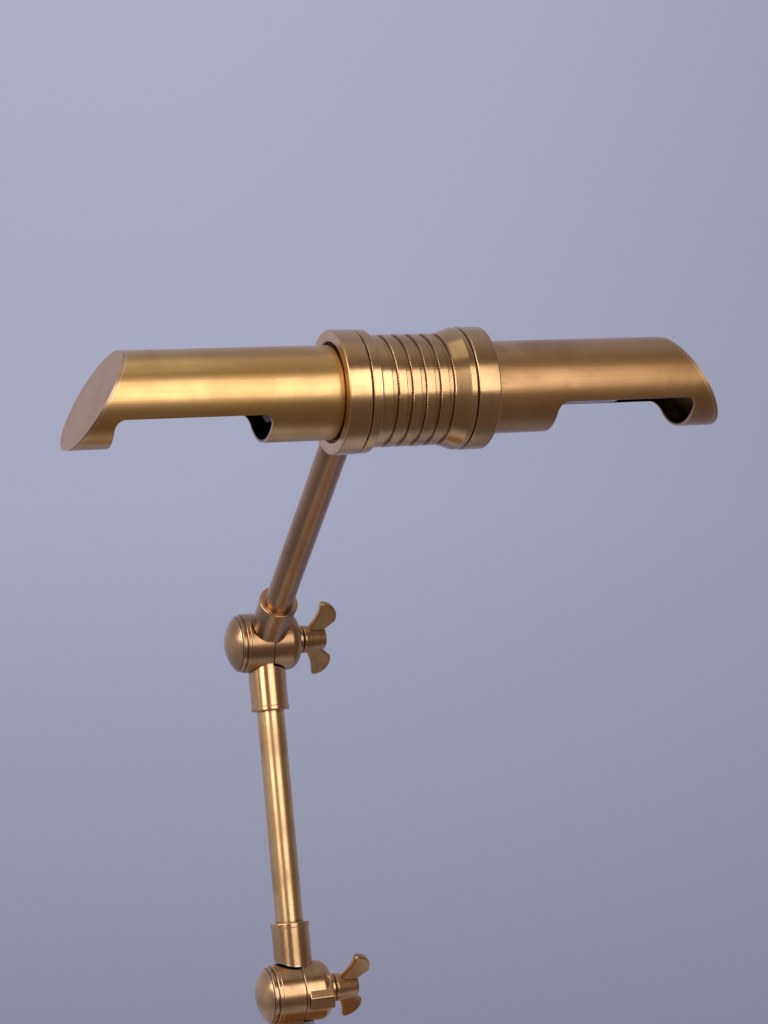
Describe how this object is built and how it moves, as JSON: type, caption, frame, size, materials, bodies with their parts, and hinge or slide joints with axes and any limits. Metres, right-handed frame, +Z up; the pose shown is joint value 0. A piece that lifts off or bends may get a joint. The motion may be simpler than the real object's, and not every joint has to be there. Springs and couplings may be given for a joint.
{
  "type": "piano lamp",
  "caption": "Double-ended brass piano lamp with two jointed arms, wing nuts, a ribbed head and a round weighted base",
  "frame": {"origin": "middle of the underside of the base, on the table", "axes": "+Z up along the stem, +X along the shade tubes to the right, -Y forward, the way the head reaches"},
  "size_m": [0.335, 0.2953, 0.5438],
  "materials": {
    "antique_brass_knuckles": "satin, turned",
    "antique_brass_wing_nuts": "satin, cast",
    "antique_brass_rods": "satin, drawn",
    "antique_brass_sleeve": "satin, turned",
    "golden_brass_shade": "satin, brushed",
    "brown_brass_shade": "satin, brushed",
    "brushed_end_caps": "matte, brushed",
    "antique_brass_base": "satin, spun",
    "brass_button": "polished",
    "plain_brass": "machined",
    "zinc_steel": "zinc plated",
    "sheet_steel": "mill finish",
    "cast_iron_weight": "as cast",
    "green_felt": "felt",
    "black_bakelite": "satin",
    "dark_rubber": "matte",
    "fibre_washer": "pressed fibre",
    "bulb_screw_cap": "satin",
    "frosted_bulb_glass": "frosted",
    "black_flex": "satin"
  },
  "bodies": {
    "base": {"base_shell": "antique_brass_base", "base_weight": "cast_iron_weight", "base_plate": "sheet_steel", "plate_screws": "zinc_steel", "felt_pad": "green_felt", "stem_flange": "antique_brass_base", "stem_washer": "zinc_steel", "stem_nut": "zinc_steel", "inlet_bush": "antique_brass_base", "switch_body": "black_bakelite", "switch_ring_nut": "antique_brass_base", "stem_rod": "antique_brass_rods", "stem_flex": "black_flex", "lower_knuckle_left_half": "antique_brass_knuckles", "lower_friction_washer": "fibre_washer", "lower_dome_cap": "antique_brass_knuckles", "lower_pivot_stud": "zinc_steel", "lower_neck_washer": "antique_brass_knuckles"},
    "switch_button": {"switch_button": "brass_button"},
    "lower_wing_nut": {"lower_wing_nut": "antique_brass_wing_nuts"},
    "middle_arm": {"lower_knuckle_right_half": "antique_brass_knuckles", "middle_rod": "antique_brass_rods", "middle_flex": "black_flex", "middle_knuckle_left_half": "antique_brass_knuckles", "middle_friction_washer": "fibre_washer", "middle_dome_cap": "antique_brass_knuckles", "middle_pivot_stud": "zinc_steel", "middle_neck_washer": "antique_brass_knuckles"},
    "middle_wing_nut": {"middle_wing_nut": "antique_brass_wing_nuts"},
    "upper_arm": {"middle_knuckle_right_half": "antique_brass_knuckles", "upper_rod": "antique_brass_rods", "upper_flex": "black_flex", "upper_knuckle_left_half": "antique_brass_knuckles", "upper_friction_washer": "fibre_washer", "upper_dome_cap": "antique_brass_knuckles", "upper_pivot_stud": "zinc_steel", "upper_neck_washer": "antique_brass_knuckles"},
    "upper_wing_nut": {"upper_wing_nut": "antique_brass_wing_nuts"},
    "head": {"upper_knuckle_right_half": "antique_brass_knuckles", "bracket_stud": "zinc_steel", "centre_block": "plain_brass", "holder_nipple": "plain_brass", "ribbed_sleeve": "antique_brass_sleeve", "left_collar": "antique_brass_sleeve", "right_collar": "antique_brass_sleeve", "left_friction_ring": "dark_rubber", "right_friction_ring": "dark_rubber", "left_lampholder": "black_bakelite", "right_lampholder": "black_bakelite", "left_bulb_cap": "bulb_screw_cap", "right_bulb_cap": "bulb_screw_cap", "left_bulb_glass": "frosted_bulb_glass", "right_bulb_glass": "frosted_bulb_glass"},
    "left_shade": {"left_shade_tube": "golden_brass_shade", "left_end_cap": "brushed_end_caps"},
    "right_shade": {"right_shade_tube": "brown_brass_shade", "right_end_cap": "brushed_end_caps"}
  },
  "joints": [
    {"name": "lower_hinge", "type": "hinge", "parent": "base", "child": "middle_arm", "pos_m": [0, 0, 0.15], "axis": [1, 0, 0], "range_deg": [-40, 30]},
    {"name": "middle_hinge", "type": "hinge", "parent": "middle_arm", "child": "upper_arm", "pos_m": [0, 0.05486, 0.34648], "axis": [1, 0, 0], "range_deg": [-60, 40]},
    {"name": "upper_hinge", "type": "hinge", "parent": "upper_arm", "child": "head", "pos_m": [0, -0.10601, 0.51365], "axis": [1, 0, 0], "range_deg": [-60, 50]},
    {"name": "left_shade_turn", "type": "hinge", "parent": "head", "child": "left_shade", "pos_m": [-0.09, -0.17021, 0.51365], "axis": [1, 0, 0], "range_deg": [-60, 60]},
    {"name": "right_shade_turn", "type": "hinge", "parent": "head", "child": "right_shade", "pos_m": [0.09, -0.17021, 0.51365], "axis": [1, 0, 0], "range_deg": [-60, 60]},
    {"name": "lower_wing_nut_turn", "type": "hinge", "parent": "base", "child": "lower_wing_nut", "pos_m": [0.025, 0, 0.15], "axis": [1, 0, 0], "range_deg": [-30, 330]},
    {"name": "middle_wing_nut_turn", "type": "hinge", "parent": "middle_arm", "child": "middle_wing_nut", "pos_m": [0.025, 0.05486, 0.34648], "axis": [1, 0, 0], "range_deg": [-30, 330]},
    {"name": "upper_wing_nut_turn", "type": "hinge", "parent": "upper_arm", "child": "upper_wing_nut", "pos_m": [0.025, -0.10601, 0.51365], "axis": [1, 0, 0], "range_deg": [-30, 330]},
    {"name": "switch_press", "type": "slide", "parent": "base", "child": "switch_button", "axis": [0, 0, -1], "range_m": [0, 0.003], "stiffness_N_per_m": 400}
  ]
}
